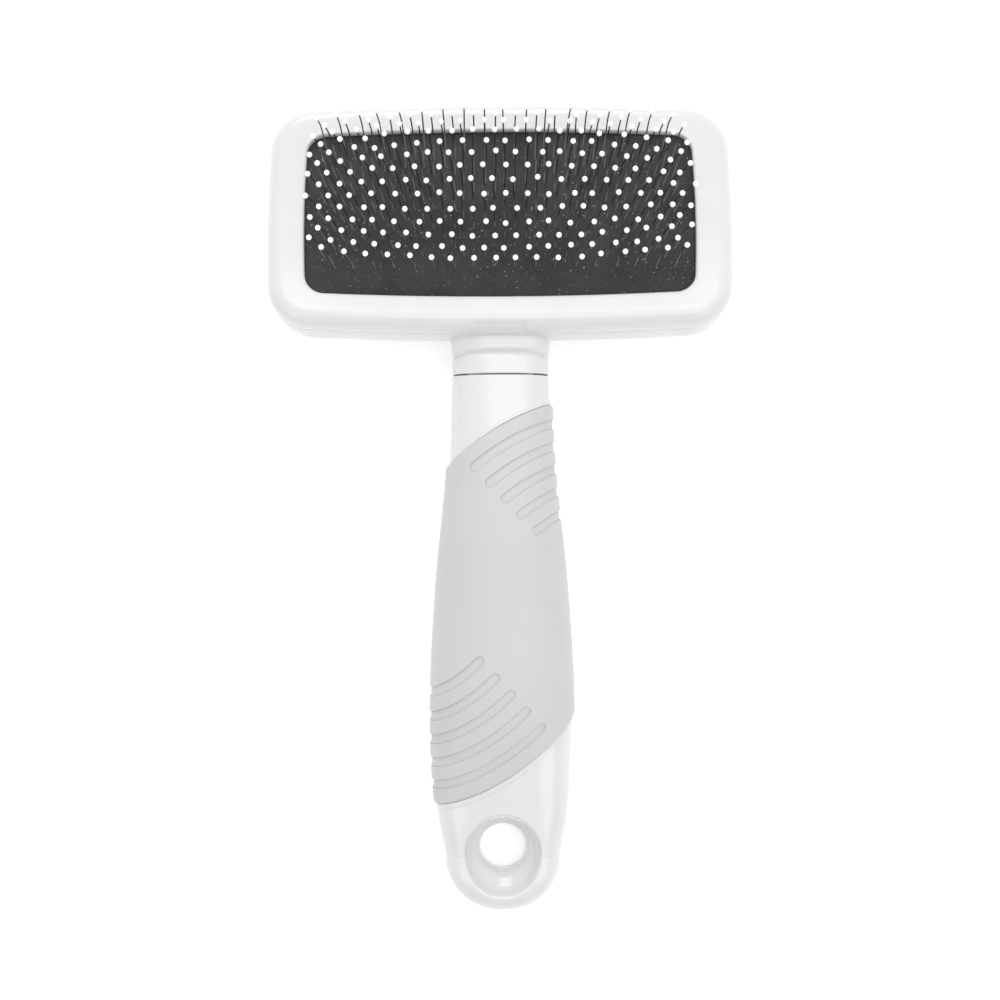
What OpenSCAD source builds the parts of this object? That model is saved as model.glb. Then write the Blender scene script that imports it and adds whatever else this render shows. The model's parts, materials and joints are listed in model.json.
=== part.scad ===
// Slicker brush: cushioned wire pin head on a straight handle with a soft grip.
// X is the head's width, +Y runs from the tail to the head, +Z is the pin side.
// The brush lies on its back. Head parts are drawn on the head's own plane, whose
// zero height is the front face of the frame, and are then tilted into place.

/* [Head] */
// Width of the head
head_w = 114; // [100:1:130]
// Height of the head
head_h = 58.4; // [54:0.2:64]
// Corner radius of the head
head_r = 11; // [9:0.5:14]
// Outward bow of the two long edges
head_bow = 1.2; // [0.4:0.1:2]
// Outward bow of the two short edges
side_bow = 0.4; // [0.2:0.1:1]
// Angle between the head and the surface that it lies on
head_tilt = 9; // [4:0.5:14]
// Total depth of the head, back to front face
head_depth = 14; // [13:0.5:18]
// Depth of the front frame's outer wall
frame_depth = 5; // [4.5:0.25:6]
// Round on the front edge of the frame
front_round = 4; // [2:0.5:4.4]
// Round on the back edge of the head
back_round = 3; // [1.5:0.5:5]
// Wall of the shell and the frame
head_wall = 2.2; // [1.8:0.1:3]
// Centre of the head along the brush
head_y = 72.27; // [70:0.01:75]

/* [Pin cushion] */
// Width of the window in the frame
open_w = 95.2; // [85:0.1:97]
// Height of the window in the frame
open_h = 42.6; // [38:0.2:43]
// Corner radius of the window
open_r = 5; // [3:0.5:8]
// Thickness of the frame's lip over the cushion
lip_t = 2; // [1.6:0.1:2.6]
// Thickness of the cushion sheet
pad_t = 1.6; // [1.2:0.1:2]
// How far the sheet reaches under the lip
pad_margin = 3; // [2:0.25:4]
// Rise of the cushion at its middle
dome_rise = 3.7; // [1:0.1:5]
// Clearance between the cushion and what it moves against
pad_gap = 0.3; // [0.3:0.05:0.5]

/* [Pins] */
// Rows of pins
rows = 14; // [10:1:14]
// Two-legged staples in a row
staples = 9; // [6:1:9]
// Distance between rows
row_pitch = 2.3; // [2:0.05:2.4]
// Distance between staples in a row
staple_pitch = 9.7; // [8:0.02:9.8]
// Distance between the legs of one staple
leg_gap = 4.54; // [4:0.02:4.8]
// How far the pin field sits above the window's middle
field_shift = 1.35; // [0:0.05:2]
// Wire diameter
wire_d = 0.34; // [0.3:0.02:0.5]
// Leg from the cushion to the knee
leg_low = 11; // [8:0.25:13]
// Leg from the knee to the ball's centre
leg_high = 5.2; // [4:0.1:7]
// Lean of the lower leg towards the head's top edge
lean = 7; // [0:0.5:12]
// Bend at the knee, towards the handle
knee = 17; // [5:0.5:40]
// Ball tip diameter
ball_d = 1.4; // [1:0.05:2]

/* [Handle] */
// Height along the brush where the neck meets the handle
neck_y = 32.5; // [30:0.5:35]
// Gap that shows as a dark line between neck and handle
neck_gap = 0.35; // [0.2:0.05:0.5]
// Far end of the tail
tail_y = -100.2; // [-101:0.1:-98]
// Where the rounding of the tail starts
tail_start = -86; // [-88:0.5:-82]
// Squareness of the handle's cross-section, 2 is an ellipse
section_power = 2.4; // [2:0.1:3]
// Height of the soft grip above the hard core
grip_proud = 0.8; // [0.3:0.1:1]
// Depth of the soft grip below the core's own surface
grip_sunk = 1; // [0.8:0.1:1.5]
// Width of a grip groove
groove_w = 2.4; // [1.6:0.1:3]
// Depth of a grip groove
groove_deep = 0.5; // [0.3:0.1:0.7]
// Grooves at each end of the grip
grooves = 5; // [3:1:6]

/* [Hang hole] */
// Diameter of the through hole
hole_d = 11.4; // [9:0.2:13]
// Centre of the hole along the brush
hole_y = -84.9; // [-86:0.1:-82]
// Height where the straight throat starts
throat_z = 4; // [3:0.25:5]
// Length of the straight throat
throat_len = 2.5; // [2:0.25:4]
// Diameter of the dish where it leaves the tail
dish_d = 22.2; // [20:0.2:23]

/* [Hidden] */
SMOOTH = 64;
CLEAR = 0.15;
ring_n = 3;
corner_n = 6;
section_n = 24;
wire_sides = 6;

// Height of the frame's front face above the surface, with the back's top edge touching it
head_z = (head_h / 2 - back_round) * sin(head_tilt) + head_depth * cos(head_tilt);

// Levels on the head's own plane, all below the front face
pad_top = -lip_t - pad_gap;
plate_t = 1.5;
plate_top = -7.1;
floor_t = 2;
floor_top = -head_depth + floor_t;
foam_w = open_w - 1;
foam_h = open_h - 1;

// Tenon of the neck inside the handle
tenon_w = 16;
tenon_h = 8;
tenon_len = 19;
tenon_z = 14.5;
tenon_fit = 0.1;

// Handle stations from head to tail: place along the brush, half width, lowest and highest point
stations = [
    [neck_y, 11.8, 8.0, 20.6],
    [10, 12.75, 5.2, 22.0],
    [-20, 15.7, 1.6, 22.8],
    [-50, 17.2, 0.0, 21.8],
    [-75, 16.25, 0.1, 17.6],
    [tail_start, 14.4, 0.4, 15.2]
];

// Neck stations from inside the head to the handle, with the saddle beside the head
neck_stations = [
    [46, 13.6, 8.6, 16.6],
    [43, 13.2, 8.4, 16.4],
    [41, 12.2, 8.2, 16.6],
    [39, 11.9, 8.1, 17.4],
    [37.6, 11.8, 8.0, 19.0],
    [36.4, 11.8, 8.0, 20.2],
    [neck_y + neck_gap, 11.8, 8.0, 20.6]
];

// ---------- outlines ----------

// First quadrant of a rectangle with round corners and four gently bowed edges
function quarter(w, h, r, bow, side) =
    let (
        cx = w / 2 - r - side,
        cy = h / 2 - r - bow,
        long_r = (cx * cx + bow * bow) / (2 * bow),
        short_r = (cy * cy + side * side) / (2 * side),
        a_long = asin(cx / long_r),
        a_short = asin(cy / short_r)
    )
    concat(
        [for (i = [0 : ring_n - 1]) let (a = a_short * i / ring_n)
            [w / 2 - r - short_r + (short_r + r) * cos(a), (short_r + r) * sin(a)]],
        [for (i = [0 : corner_n]) let (a = a_short + (90 - a_short - a_long) * i / corner_n)
            [cx + r * cos(a), cy + r * sin(a)]],
        [for (i = [1 : ring_n]) let (a = 90 - a_long * (1 - i / ring_n))
            [(long_r + r) * cos(a), h / 2 - r - long_r + (long_r + r) * sin(a)]]
    );

// The whole outline, anticlockwise, drawn inset by d
function outline(w, h, r, bow, side, d = 0) =
    let (q = quarter(w - 2 * d, h - 2 * d, r - d, bow, side), n = len(q))
    concat(
        [for (i = [0 : n - 1]) q[i]],
        [for (i = [n - 2 : -1 : 0]) [-q[i][0], q[i][1]]],
        [for (i = [1 : n - 1]) [-q[i][0], -q[i][1]]],
        [for (i = [n - 2 : -1 : 1]) [q[i][0], -q[i][1]]]
    );

function head_outline(d = 0) = outline(head_w, head_h, head_r, head_bow, side_bow, d);
function window_outline(d = 0) = outline(open_w, open_h, open_r, head_bow - 0.2, side_bow, d);

function at_height(points, z) = [for (p = points) [p[0], p[1], z]];

// ---------- the cushion's dome ----------

function dome(x, y) =
    let (u = min(1, abs(2 * x / open_w)), v = min(1, abs(2 * y / open_h)))
    dome_rise * (1 - u * u) * pow(1 - v * v, 2);

function dome_slope_x(x, y) =
    let (v = min(1, abs(2 * y / open_h)))
    -dome_rise * 8 * x / (open_w * open_w) * pow(1 - v * v, 2);

function dome_slope_y(x, y) =
    let (u = min(1, abs(2 * x / open_w)), v = min(1, abs(2 * y / open_h)))
    -dome_rise * (1 - u * u) * 16 * y / (open_h * open_h) * (1 - v * v);

function domed_ring(points, s, z) =
    [for (p = points) [p[0] * s, p[1] * s, z + (s < 0.1 ? dome_rise : dome(p[0] * s, p[1] * s))]];

// ---------- pins ----------

function unit(v) = v / norm(v);
function turned(v, a) =
    [v[0], v[1] * cos(a) + v[2] * sin(a), -v[1] * sin(a) + v[2] * cos(a)];
function normal_at(x, y) = unit([-dome_slope_x(x, y), -dome_slope_y(x, y), 1]);

function row_y(i) = field_shift + (i - (rows + 1) / 2) * row_pitch;
function row_shift(i) = (i % 2 == 1 ? 1 : -1) * staple_pitch / 8;
function leg_x(i, k, side) =
    row_shift(i) + (k - (staples - 1) / 2) * staple_pitch + side * leg_gap / 2;

function leg_foot(x, y) = [x, y, pad_top + dome(x, y)];
function leg_knee(x, y) = leg_foot(x, y) + leg_low * turned(normal_at(x, y), lean);
function leg_tip(x, y) = leg_knee(x, y) + leg_high * turned(normal_at(x, y), lean - knee);
function leg_base(x, y) = leg_foot(x, y) - [0, 0, pad_t + wire_d / 2];

// ---------- handle ----------

function slope_at(t, i, c) =
    let (a = max(0, i - 1), b = min(len(t) - 1, i + 1))
    (t[b][c] - t[a][c]) / (t[b][0] - t[a][0]);

// Smooth value of column c at place y, in a table ordered from head to tail
function smooth(t, y, c, i = 0) =
    i < len(t) - 2 && y < t[i + 1][0] ? smooth(t, y, c, i + 1) :
    let (
        len_y = t[i + 1][0] - t[i][0],
        s = (y - t[i][0]) / len_y
    )
    t[i][c] * (2 * s * s * s - 3 * s * s + 1) + slope_at(t, i, c) * len_y * (s * s * s - 2 * s * s + s)
    + t[i + 1][c] * (3 * s * s - 2 * s * s * s) + slope_at(t, i + 1, c) * len_y * (s * s * s - s * s);

function power_curve(v, p) = sign(v) * pow(abs(v), 2 / p);

// One cross-section: half width a, heights low and high
function section(y, a, low, high) =
    [for (k = [0 : section_n - 1]) let (t = 360 * k / section_n)
        [a * power_curve(cos(t), section_power), y,
         (low + high) / 2 + (high - low) / 2 * power_curve(sin(t), section_power)]];

function tail_fade(y, p) =
    y > tail_start ? 1 : pow(1 - pow((tail_start - y) / (tail_start - tail_y), p), 1 / p);

// The handle's own section at y, grown outwards by d
function handle_section(y, d) =
    let (
        yy = max(y, tail_start),
        low = smooth(stations, yy, 2),
        high = smooth(stations, yy, 3),
        mid = (low + high) / 2,
        half = (high - low) / 2 * tail_fade(y, 2.8),
        a = smooth(stations, yy, 1) * tail_fade(y, 2.15)
    )
    section(y, a + d, mid - half - min(d, 0.0), mid + half + d);

body_steps = 20;
body_places = [for (i = [0 : body_steps - 1]) neck_y - i * (neck_y - tail_start) / body_steps];
tail_places = [for (t = [0, 0.25, 0.47, 0.65, 0.8, 0.91, 0.98])
    tail_start - t * (tail_start - tail_y)];
handle_places = concat(body_places, tail_places);

// Ends of the grip, whose grooves are arcs about the same centre: centre, radius, distance to the
// first groove, pitch of the grooves, angle where the first groove ends and its change per groove
head_end = [[31.1, -33.9], 62.5, 4.7, 5.25, 130.2, -0.4];
tail_end = [[-33.75, -9.9], 65.3, 5, 5.4, -44.7, 0.5];

// ---------- shared modules ----------

module place_head() {
    translate([0, head_y, head_z]) rotate([-head_tilt, 0, 0]) children();
}

// Solid through rings of equal point count, stacked towards the viewer of an anticlockwise ring
module loft(rings) {
    n = len(rings[0]);
    m = len(rings);
    polyhedron(
        points = [for (r = rings) each r],
        faces = concat(
            [[for (i = [0 : n - 1]) i]],
            [[for (i = [n - 1 : -1 : 0]) (m - 1) * n + i]],
            [for (k = [0 : m - 2], i = [0 : n - 1]) let (j = (i + 1) % n)
                [k * n + i, (k + 1) * n + i, (k + 1) * n + j]],
            [for (k = [0 : m - 2], i = [0 : n - 1]) let (j = (i + 1) % n)
                [k * n + i, (k + 1) * n + j, k * n + j]]
        )
    );
}

module plate(points, low, high) {
    translate([0, 0, low]) linear_extrude(high - low) polygon(points);
}

// Bent wire along a path whose bends lie nearly in planes that hold the Y axis or the X axis
module wire(path) {
    last = len(path) - 1;
    loft([for (i = [0 : last])
        let (
            in = unit(path[max(i, 1)] - path[max(i, 1) - 1]),
            out = unit(path[min(i + 1, last)] - path[min(i + 1, last) - 1]),
            t = unit(in + out),
            u = unit([0, 1, 0] - t[1] * t),
            v = cross(t, u) / (in * t)
        )
        [for (k = [0 : wire_sides - 1]) let (a = 360 * k / wire_sides)
            path[i] + wire_d / 2 * (cos(a) * u + sin(a) * v)]]);
}

module handle_loft(d) {
    loft([for (y = handle_places) handle_section(y, d)]);
}

// ---------- head ----------

module head_shell() {
    back_rings = [for (a = [0, 30, 60, 90])
        at_height(head_outline(back_round * (1 - sin(a))), -head_depth + back_round * (1 - cos(a)))];
    color("white") difference() {
        union() {
            place_head() loft(concat(back_rings, [at_height(head_outline(), -frame_depth)]));
            difference() {
                loft([for (s = neck_stations) section(s[0], s[1], s[2], s[3])]);
                place_head() plate(head_outline(-CLEAR), -frame_depth, 6);
            }
            translate([-tenon_w / 2, neck_y - tenon_len, tenon_z - tenon_h / 2])
                cube([tenon_w, tenon_len + 3, tenon_h]);
        }
        place_head() plate(head_outline(head_wall), floor_top, 6);
    }
    color("white") place_head() shell_ribs();
}

// Ribs on the shell's floor that carry the backing plate
module shell_ribs() {
    rib_t = 1.6;
    rib_h = plate_top - plate_t - floor_top;
    for (x = [-36, -12, 12, 36])
        translate([x - rib_t / 2, -22, floor_top - 0.5]) cube([rib_t, 44, rib_h + 0.5]);
}

module front_frame() {
    front_rings = [for (a = [0, 22.5, 45, 67.5, 90])
        at_height(head_outline(front_round * (1 - cos(a))), -front_round * (1 - sin(a)))];
    tongue_t = 1.2;
    tongue_w = 9;
    tongue_h = 2.4;
    color("white") place_head() {
        difference() {
            loft(concat([at_height(head_outline(), -frame_depth)], front_rings));
            plate(head_outline(head_wall + 0.2), -frame_depth - 1, -lip_t);
            plate(window_outline(), -lip_t - 1, 1);
        }
        for (x = [-32, 0, 32], s = [-1, 1])
            translate([x - tongue_w / 2,
                       s * (head_h / 2 - head_wall - 0.2 - tongue_t / 2) - tongue_t / 2
                       - s * head_bow * pow(2 * x / head_w, 2), -frame_depth - tongue_h])
                cube([tongue_w, tongue_t, tongue_h + frame_depth - lip_t + 0.5]);
    }
}

module backing_plate() {
    color("gainsboro") place_head()
        plate(head_outline(head_wall + 2.2), plate_top - plate_t, plate_top);
}

// ---------- cushion ----------

module pad_foam() {
    shape = outline(foam_w, foam_h, open_r, head_bow - 0.2, side_bow);
    under = pad_top - pad_t - wire_d - pad_gap - 0.1;
    color("dimgray") place_head()
        loft(concat(
            [at_height(shape, plate_top), at_height(shape, under)],
            [for (s = [0.85, 0.68, 0.5, 0.3, 0.09]) domed_ring(shape, s, under)]
        ));
}

module pin_pad() {
    shape = window_outline(-pad_margin);
    steps = [0.88, 0.72, 0.55, 0.32, 0.09];
    count = len(steps);
    color([0.2, 0.2, 0.21]) place_head()
        loft(concat(
            [for (i = [count - 1 : -1 : 0]) domed_ring(shape, steps[i], pad_top - pad_t)],
            [at_height(shape, pad_top - pad_t), at_height(shape, pad_top)],
            [for (s = steps) domed_ring(shape, s, pad_top)]
        ));
}

// One wire: tip, knee, back of the sheet, across to the other leg, knee, tip
module staple(i, k) {
    y = row_y(i);
    a = leg_x(i, k, -1);
    b = leg_x(i, k, 1);
    wire([
        leg_tip(a, y), leg_knee(a, y), leg_foot(a, y), leg_base(a, y),
        leg_base(b, y), leg_foot(b, y), leg_knee(b, y), leg_tip(b, y)
    ]);
}

module pin_row(i) {
    color("silver") place_head() for (k = [0 : staples - 1]) staple(i, k);
}

module tips_row(i) {
    color("white") place_head()
        for (k = [0 : staples - 1], side = [-1, 1])
            translate(leg_tip(leg_x(i, k, side), row_y(i))) sphere(d = ball_d, $fn = SMOOTH);
}

// ---------- handle ----------

// Plan of everything on the grip's side of one end arc
module grip_side(end, toward_head) {
    translate(end[0]) {
        circle(r = end[1], $fn = SMOOTH * 2);
        translate([-90, toward_head ? -90 : 0]) square([180, 90]);
    }
}

module grip_region() {
    translate([0, 0, -5]) linear_extrude(45) intersection() {
        grip_side(head_end, true);
        grip_side(tail_end, false);
    }
}

// Plan of one groove: an arc from its round end, clockwise past the handle's side
module groove(end, i) {
    r = end[1] - end[2] - i * end[3];
    translate(end[0]) rotate(end[4] + i * end[5]) {
        intersection() {
            difference() {
                circle(r = r + groove_w / 2, $fn = SMOOTH * 2);
                circle(r = r - groove_w / 2, $fn = SMOOTH * 2);
            }
            translate([0, -90]) square([90, 90]);
        }
        translate([r, 0]) circle(d = groove_w, $fn = SMOOTH / 2);
    }
}

module grooves_cut() {
    difference() {
        translate([0, 0, -5]) linear_extrude(45) for (end = [head_end, tail_end], i = [0 : grooves - 1])
            groove(end, i);
        handle_loft(grip_proud - groove_deep);
    }
}

module grip_sleeve() {
    color([0.84, 0.84, 0.84]) difference() {
        intersection() {
            handle_loft(grip_proud);
            grip_region();
        }
        handle_loft(-grip_sunk);
        grooves_cut();
    }
}

// Through hole with a deep dish in front, whose wall is steep, and a countersink behind
module hang_hole() {
    r = hole_d / 2;
    top = throat_z + throat_len;
    swell = dish_d / 2 - r;
    rotate_extrude($fn = SMOOTH) polygon([
        [0, -3], [r + 4.2, -3], [r + 3.4, -0.2], [r + 0.7, throat_z - 1.1], [r, throat_z], [r, top],
        [r + swell * 0.26, top + 0.9], [r + swell * 0.48, top + 3], [r + swell * 0.61, top + 5.5],
        [r + swell * 0.76, top + 7.4], [r + swell * 0.96, top + 8.7], [r + swell, top + 9.7],
        [r + swell, 30], [0, 30]
    ]);
}

module handle_core() {
    color("white") difference() {
        union() {
            difference() {
                handle_loft(0);
                grip_region();
            }
            handle_loft(-grip_sunk);
        }
        translate([-tenon_w / 2 - tenon_fit, neck_y - tenon_len - 0.5, tenon_z - tenon_h / 2 - tenon_fit])
            cube([tenon_w + 2 * tenon_fit, tenon_len + 2, tenon_h + 2 * tenon_fit]);
        translate([0, hole_y, 0]) hang_hole();
    }
}

head_shell();
front_frame();
backing_plate();
pad_foam();
pin_pad();
handle_core();
grip_sleeve();
pin_row(1);  // pin_row_01
pin_row(2);  // pin_row_02
pin_row(3);  // pin_row_03
pin_row(4);  // pin_row_04
pin_row(5);  // pin_row_05
pin_row(6);  // pin_row_06
pin_row(7);  // pin_row_07
pin_row(8);  // pin_row_08
pin_row(9);  // pin_row_09
pin_row(10);  // pin_row_10
pin_row(11);  // pin_row_11
pin_row(12);  // pin_row_12
pin_row(13);  // pin_row_13
pin_row(14);  // pin_row_14
tips_row(1);  // tips_row_01
tips_row(2);  // tips_row_02
tips_row(3);  // tips_row_03
tips_row(4);  // tips_row_04
tips_row(5);  // tips_row_05
tips_row(6);  // tips_row_06
tips_row(7);  // tips_row_07
tips_row(8);  // tips_row_08
tips_row(9);  // tips_row_09
tips_row(10);  // tips_row_10
tips_row(11);  // tips_row_11
tips_row(12);  // tips_row_12
tips_row(13);  // tips_row_13
tips_row(14);  // tips_row_14
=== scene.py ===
"""Slicker brush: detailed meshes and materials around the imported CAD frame, in metres."""
import json
import math
import random

import bmesh
import bpy
import numpy as np
from mathutils import Matrix, Vector


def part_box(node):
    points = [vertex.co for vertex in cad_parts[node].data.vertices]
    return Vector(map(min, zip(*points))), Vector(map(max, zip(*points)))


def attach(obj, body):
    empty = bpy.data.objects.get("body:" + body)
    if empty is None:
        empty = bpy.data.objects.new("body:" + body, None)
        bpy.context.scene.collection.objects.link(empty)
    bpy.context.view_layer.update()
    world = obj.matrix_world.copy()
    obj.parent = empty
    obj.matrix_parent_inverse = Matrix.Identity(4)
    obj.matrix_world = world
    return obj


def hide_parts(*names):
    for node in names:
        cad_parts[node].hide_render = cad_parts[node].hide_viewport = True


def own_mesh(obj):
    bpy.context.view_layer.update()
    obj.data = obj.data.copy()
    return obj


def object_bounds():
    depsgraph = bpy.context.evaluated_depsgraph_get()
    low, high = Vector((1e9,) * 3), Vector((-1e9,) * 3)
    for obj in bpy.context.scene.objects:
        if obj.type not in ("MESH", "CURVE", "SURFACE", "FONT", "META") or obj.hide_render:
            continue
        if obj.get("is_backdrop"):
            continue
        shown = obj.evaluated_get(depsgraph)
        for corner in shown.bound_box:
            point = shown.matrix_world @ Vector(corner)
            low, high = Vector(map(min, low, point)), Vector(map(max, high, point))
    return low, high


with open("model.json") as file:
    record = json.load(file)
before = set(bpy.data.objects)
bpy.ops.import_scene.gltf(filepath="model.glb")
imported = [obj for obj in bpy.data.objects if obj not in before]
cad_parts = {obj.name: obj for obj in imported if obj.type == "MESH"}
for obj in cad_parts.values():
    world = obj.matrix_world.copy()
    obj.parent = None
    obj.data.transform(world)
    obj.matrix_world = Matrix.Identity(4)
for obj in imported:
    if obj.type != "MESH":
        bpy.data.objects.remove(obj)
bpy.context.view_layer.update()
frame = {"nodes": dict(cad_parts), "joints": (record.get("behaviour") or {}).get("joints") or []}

MM = 0.001
ROOT = "brush"
BED = "pin_bed"
JOINT = "cushion_press"

# Head, on its own tilted plane: zero height is the frame's front face
HEAD_H = 58.4 * MM
HEAD_BOW = 1.2 * MM
SIDE_BOW = 0.4 * MM
HEAD_R = 11 * MM
HEAD_DEPTH = 14 * MM
FRAME_DEPTH = 5 * MM
FRONT_ROUND = 4 * MM
BACK_ROUND = 3 * MM
BOX_ROUND = 0.4 * MM
WALL, WALL_GAP = 2.2 * MM, 0.2 * MM
LIP = 2 * MM
FLOOR = 2 * MM
TONGUE_W, TONGUE_T, TONGUE_REACH, TONGUE_PITCH = 9 * MM, 1.2 * MM, 2.4 * MM, 32 * MM
RIB_X, RIB_T, RIB_L = (-36 * MM, -12 * MM, 12 * MM, 36 * MM), 1.6 * MM, 44 * MM
WINDOW_W, WINDOW_H, WINDOW_R = 95.2 * MM, 42.6 * MM, 5 * MM

# Cushion
PAD_T = 1.6 * MM
PAD_MARGIN = 3 * MM
PAD_TOP = -2.3 * MM
DOME = 3.7 * MM
PLATE_TOP, PLATE_T = -7.1 * MM, 1.5 * MM

# Pins
ROWS, STAPLES = 14, 9
ROW_PITCH, STAPLE_PITCH, LEG_GAP = 2.3 * MM, 9.7 * MM, 4.54 * MM
FIELD_SHIFT = 1.35 * MM
WIRE_R, BALL_R = 0.17 * MM, 0.64 * MM
LEG_LOW, LEG_HIGH = 11 * MM, 5.2 * MM
LEAN, KNEE = math.radians(7), math.radians(17)
BEND_R = 0.9 * MM
LOWER_SCATTER, UPPER_SCATTER, SWAY_SCATTER = 0.010, 0.025, 0.018  # radians, spread of each leg's lean

# Handle
NECK_Y = 32.5 * MM
TENON_W, TENON_H, TENON_Z, TENON_FIT = 16 * MM, 8 * MM, 14.5 * MM, 0.1 * MM
TENON_Y, SOCKET_Y = (13.5 * MM, 34 * MM), (13 * MM, 36 * MM)
TAIL_START = -86 * MM
TAIL_PLAN_POWER, TAIL_SIDE_POWER = 2.15, 2.8  # roundness of the tail's end, seen from above and from the side
SECTION_POWER = 2.4
GRIP_PROUD, GRIP_SUNK, GRIP_GAP = 0.8 * MM, 1.0 * MM, 0.08 * MM
GROOVE_W, GROOVE_DEEP, GROOVES = 2.4 * MM, 0.5 * MM, 5
BEAD_H = 0.25 * MM
HOLE_Y = -84.9 * MM
COUNTERSINK = [(9.3, -3), (8.6, -0.2), (6.3, 2.6), (5.82, 3.8)]  # radius and height, in mm
DISH = [(5.7, 4.0), (5.7, 5.8), (5.85, 7.0), (6.15, 7.9), (6.8, 8.7), (7.6, 9.5), (8.3, 10.5), (8.8, 11.7),
        (9.1, 13.0), (9.35, 14.2), (9.7, 15.4), (10.1, 16.4), (10.7, 17.4), (11.3, 18.8), (12.2, 21)]

# Both ends of the grip are arcs, and its grooves are arcs about the same centres.
# "side" is 1 at the head end and -1 at the tail end; the grooves end on slanted lines.
HEAD_END = {"side": 1, "x": 31.1 * MM, "y": -33.9 * MM, "r": 62.5 * MM, "first": 4.7 * MM,
            "pitch": 5.25 * MM, "angle": 130.2, "turn": -0.4}
TAIL_END = {"side": -1, "x": -33.75 * MM, "y": -9.9 * MM, "r": 65.3 * MM, "first": 5.0 * MM,
            "pitch": 5.4 * MM, "angle": -44.7, "turn": 0.5}

HANDLE_STATIONS = [  # place along the brush, half width, lowest and highest point, in mm
    (32.5, 11.8, 8.0, 20.6), (10, 12.75, 5.2, 22.0), (-20, 15.7, 1.6, 22.8),
    (-50, 17.2, 0.0, 21.8), (-75, 16.25, 0.1, 17.6), (-86, 14.4, 0.4, 15.2)]
NECK_STATIONS = [
    (43.6, 14.0, 9.0, 16.2), (42.4, 13.0, 8.5, 16.2), (41.2, 12.3, 8.2, 16.2), (40, 12.0, 8.1, 16.25),
    (39.2, 11.9, 8.05, 16.5), (38.6, 11.8, 8.0, 17.4), (38.2, 11.8, 8.0, 18.7), (37.8, 11.8, 8.0, 19.75),
    (37.3, 11.8, 8.0, 20.25), (36.6, 11.8, 8.0, 20.4), (34.5, 11.8, 8.0, 20.5), (33.05, 11.8, 8.0, 20.6),
    (32.9, 11.75, 8.05, 20.55), (32.85, 11.65, 8.15, 20.45)]
NECK_HOLLOW = (33.7 * MM, 10.9 * MM, 8.9 * MM, 19.7 * MM)
COLLAR_ARCH = 1.9 * MM


# ---------- frame of the head ----------

def head_matrix():
    """From the head's plane to the brush's frame: tilt from the joint's axis, place from the plate."""
    axis = Vector(next(j for j in frame["joints"] if j["name"] == JOINT)["axis"])
    tilt = math.atan2(-axis.y, -axis.z)
    low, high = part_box("backing_plate")
    head_y = (low.y + high.y) / 2 - (PLATE_TOP - PLATE_T / 2) * math.sin(tilt)
    head_z = (HEAD_H / 2 - BACK_ROUND) * math.sin(tilt) + HEAD_DEPTH * math.cos(tilt)
    return Matrix.Translation((0, head_y, head_z)) @ Matrix.Rotation(-tilt, 4, "X")


HEAD_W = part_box("front_frame")[1].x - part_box("front_frame")[0].x
HEAD = head_matrix()
NORMAL = (HEAD.to_3x3() @ Vector((0, 0, 1))).normalized()
TAIL_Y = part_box("handle_core")[0].y


# ---------- outlines ----------

def quarter(w, h, r, bow, side, n_side, n_corner, n_long):
    """First quadrant of a rectangle with round corners and gently bowed edges."""
    cx, cy = w / 2 - r - side, h / 2 - r - bow
    long_r = (cx * cx + bow * bow) / (2 * bow)
    short_r = (cy * cy + side * side) / (2 * side)
    a_long, a_short = math.asin(cx / long_r), math.asin(cy / short_r)
    points = []
    for i in range(n_side):
        a = a_short * i / n_side
        points.append((w / 2 - r - short_r + (short_r + r) * math.cos(a), (short_r + r) * math.sin(a)))
    for i in range(n_corner + 1):
        a = a_short + (math.pi / 2 - a_short - a_long) * i / n_corner
        points.append((cx + r * math.cos(a), cy + r * math.sin(a)))
    for i in range(1, n_long + 1):
        a = math.pi / 2 - a_long * (1 - i / n_long)
        points.append(((long_r + r) * math.cos(a), h / 2 - r - long_r + (long_r + r) * math.sin(a)))
    return points


def outline(w, h, r, bow, side, inset=0.0, counts=(24, 24, 80)):
    """The whole outline as an array of (x, y), anticlockwise."""
    q = quarter(w - 2 * inset, h - 2 * inset, max(r - inset, 0.5 * MM), bow, side, *counts)
    left = [(-x, y) for x, y in reversed(q[:-1])]
    low = [(-x, -y) for x, y in q[1:]]
    right = [(x, -y) for x, y in reversed(q[1:-1])]
    return np.array(q + left + low + right)


def head_outline(inset=0.0, counts=(24, 24, 80)):
    return outline(HEAD_W, HEAD_H, HEAD_R, HEAD_BOW, SIDE_BOW, inset, counts)


def window_outline(inset=0.0, counts=(24, 24, 80)):
    return outline(WINDOW_W, WINDOW_H, WINDOW_R, HEAD_BOW - 0.2 * MM, SIDE_BOW, inset, counts)


def level(points, z):
    z = np.broadcast_to(np.asarray(z, float), (len(points),))
    return np.column_stack([points, z])


# ---------- mesh building ----------

def new_object(name, verts, faces, body, material, angle=35):
    mesh = bpy.data.meshes.new(name)
    mesh.from_pydata([tuple(map(float, v)) for v in verts], [], faces)
    mesh.validate()
    obj = bpy.data.objects.new(name, mesh)
    bpy.context.scene.collection.objects.link(obj)
    tidy_mesh(obj, angle)
    obj.data.materials.append(material)
    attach(obj, body)
    return obj


def tidy_mesh(obj, angle=35):
    """Normals outwards, smooth faces, and edges sharper than angle marked sharp."""
    bm = bmesh.new()
    bm.from_mesh(obj.data)
    bmesh.ops.remove_doubles(bm, verts=bm.verts, dist=1e-7)
    bmesh.ops.dissolve_degenerate(bm, edges=bm.edges, dist=1e-7)
    bmesh.ops.recalc_face_normals(bm, faces=bm.faces)
    limit = math.radians(angle)
    for f in bm.faces:
        f.smooth = True
    for e in bm.edges:
        e.smooth = not (len(e.link_faces) == 2 and e.calc_face_angle(0) > limit)
    bm.to_mesh(obj.data)
    bm.free()


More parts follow.
